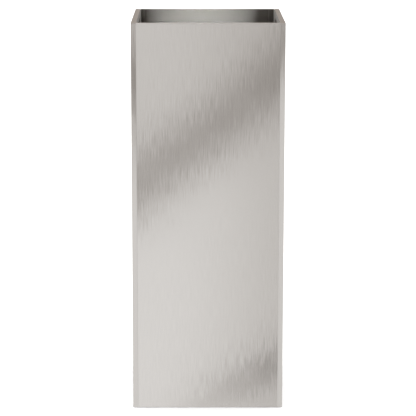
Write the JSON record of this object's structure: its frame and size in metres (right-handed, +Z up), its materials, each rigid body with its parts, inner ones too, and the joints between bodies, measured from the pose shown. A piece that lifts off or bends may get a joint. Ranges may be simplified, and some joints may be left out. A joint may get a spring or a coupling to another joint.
{
  "type": "umbrella stand",
  "caption": "Tall square open-topped umbrella stand of folded brushed stainless sheet, with a narrow flat rim, upright corner strips, a raised base pan, floor pads and a lift-out drip tray.",
  "frame": {"origin": "centre of the footprint on the floor, in the plane of the pads' undersides", "axes": "+Z up, +X to the viewer's right, -Y is the front face"},
  "size_m": [0.24, 0.24, 0.62],
  "materials": {
    "brushed_side_sheet": "stainless steel brushed along its height",
    "brushed_end_sheet": "stainless steel brushed along its height",
    "plain_sheet": "plain rolled stainless steel",
    "tray_plastic": "fine matte moulding",
    "screw_steel": "bright zinc-plated steel",
    "nut_steel": "zinc-plated steel",
    "pad_rubber": "matte rubber"
  },
  "bodies": {
    "stand": {"left_panel": "brushed_side_sheet", "right_panel": "brushed_side_sheet", "front_panel": "brushed_end_sheet", "back_panel": "brushed_end_sheet", "base_pan": "plain_sheet", "screws_front_left": "screw_steel", "screws_front_right": "screw_steel", "screws_back_left": "screw_steel", "screws_back_right": "screw_steel", "nuts_front_left": "nut_steel", "nuts_front_right": "nut_steel", "nuts_back_left": "nut_steel", "nuts_back_right": "nut_steel", "base_screws": "screw_steel", "pad_front_left": "pad_rubber", "pad_front_right": "pad_rubber", "pad_back_left": "pad_rubber", "pad_back_right": "pad_rubber"},
    "tray": {"drip_tray": "tray_plastic"}
  },
  "joints": [
    {"name": "tray_lift", "type": "slide", "parent": "stand", "child": "tray", "axis": [0, 0, 1], "range_m": [0, 0.62]}
  ]
}
